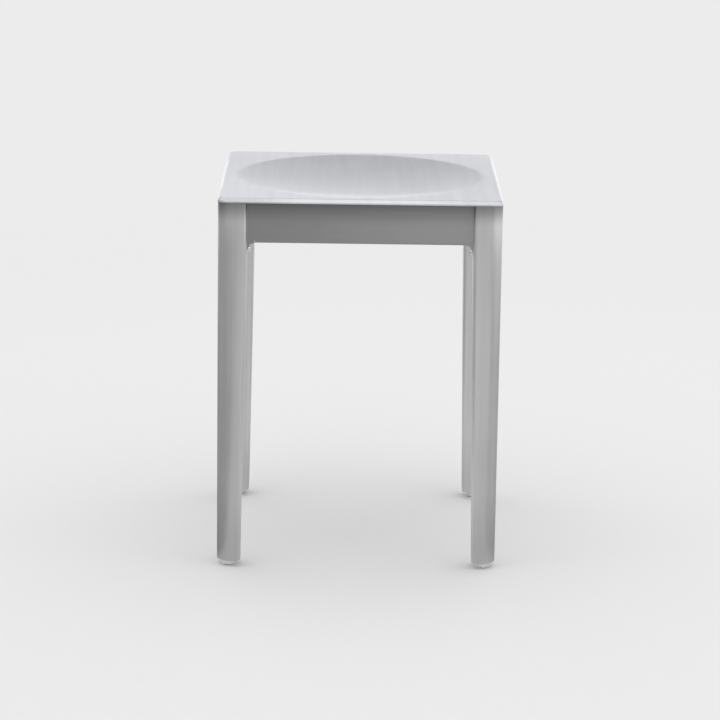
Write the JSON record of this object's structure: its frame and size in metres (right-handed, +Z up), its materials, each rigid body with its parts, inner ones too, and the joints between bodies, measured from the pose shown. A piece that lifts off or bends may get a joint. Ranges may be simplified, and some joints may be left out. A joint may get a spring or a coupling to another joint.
{
  "type": "stacking stool",
  "caption": "Low stacking stool in satin aluminium: square seat with a round dish, flush tapered tube legs at its corners, set-back apron rails and domed plastic glides.",
  "frame": {"origin": "on the floor, midway between the legs", "axes": "+Z up through the middle of the seat, +X to the right and -Y towards the front"},
  "size_m": [0.345, 0.345, 0.462],
  "materials": {
    "satin_aluminium": "fine satin brushing, clear",
    "weld_metal": "rippled weld bead, lightly polished",
    "glide_nylon": "pale grey moulded nylon, satin",
    "socket_nylon": "dark grey moulded nylon, matt"
  },
  "bodies": {
    "root": {"seat_pan": "satin_aluminium", "leg_front_right": "satin_aluminium", "leg_rear_right": "satin_aluminium", "leg_rear_left": "satin_aluminium", "leg_front_left": "satin_aluminium", "apron_front": "satin_aluminium", "apron_right": "satin_aluminium", "apron_rear": "satin_aluminium", "apron_left": "satin_aluminium", "corner_gusset_front_right": "satin_aluminium", "corner_gusset_rear_right": "satin_aluminium", "corner_gusset_rear_left": "satin_aluminium", "corner_gusset_front_left": "satin_aluminium", "weld_apron_front_to_leg_front_right": "weld_metal", "weld_apron_front_to_leg_front_left": "weld_metal", "weld_apron_right_to_leg_rear_right": "weld_metal", "weld_apron_right_to_leg_front_right": "weld_metal", "weld_apron_rear_to_leg_rear_left": "weld_metal", "weld_apron_rear_to_leg_rear_right": "weld_metal", "weld_apron_left_to_leg_front_left": "weld_metal", "weld_apron_left_to_leg_rear_left": "weld_metal", "seat_stitch_front_a": "weld_metal", "seat_stitch_front_b": "weld_metal", "seat_stitch_right_a": "weld_metal", "seat_stitch_right_b": "weld_metal", "seat_stitch_rear_a": "weld_metal", "seat_stitch_rear_b": "weld_metal", "seat_stitch_left_a": "weld_metal", "seat_stitch_left_b": "weld_metal", "glide_socket_front_right": "socket_nylon", "glide_socket_rear_right": "socket_nylon", "glide_socket_rear_left": "socket_nylon", "glide_socket_front_left": "socket_nylon", "glide_front_right": "glide_nylon", "glide_rear_right": "glide_nylon", "glide_rear_left": "glide_nylon", "glide_front_left": "glide_nylon"}
  },
  "joints": []
}
